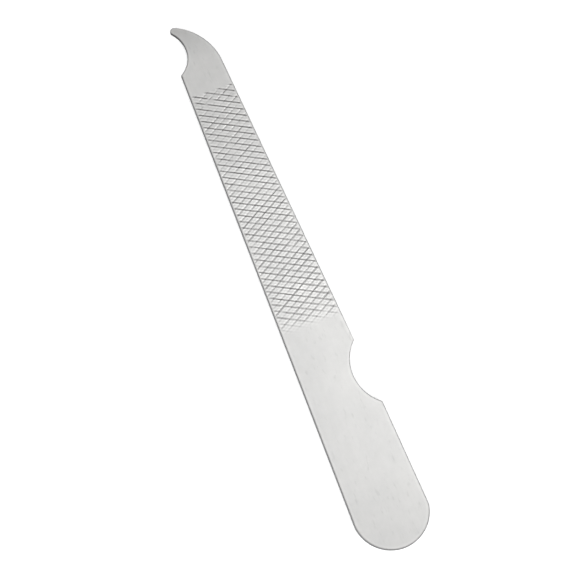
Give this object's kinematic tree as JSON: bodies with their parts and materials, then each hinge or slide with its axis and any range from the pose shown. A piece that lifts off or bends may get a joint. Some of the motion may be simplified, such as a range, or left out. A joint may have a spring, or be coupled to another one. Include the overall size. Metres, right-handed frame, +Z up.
{
  "type": "hooked hand file",
  "caption": "Small flat hand file in plated steel with crossed file grooves, a claw at the narrow end, a finger notch and a plain round handle.",
  "frame": {"origin": "centre of the bounding box on the lower face, which lies flat on the surface", "axes": "+Y along the tool from the round handle end to the claw, +X towards the notched edge, +Z up out of the upper face"},
  "size_m": [0.0222, 0.17, 0.0015],
  "materials": {
    "plated_steel": "satin nickel plate over fine lengthwise brushing"
  },
  "bodies": {
    "root": {"file_blade": "plated_steel"}
  },
  "joints": []
}
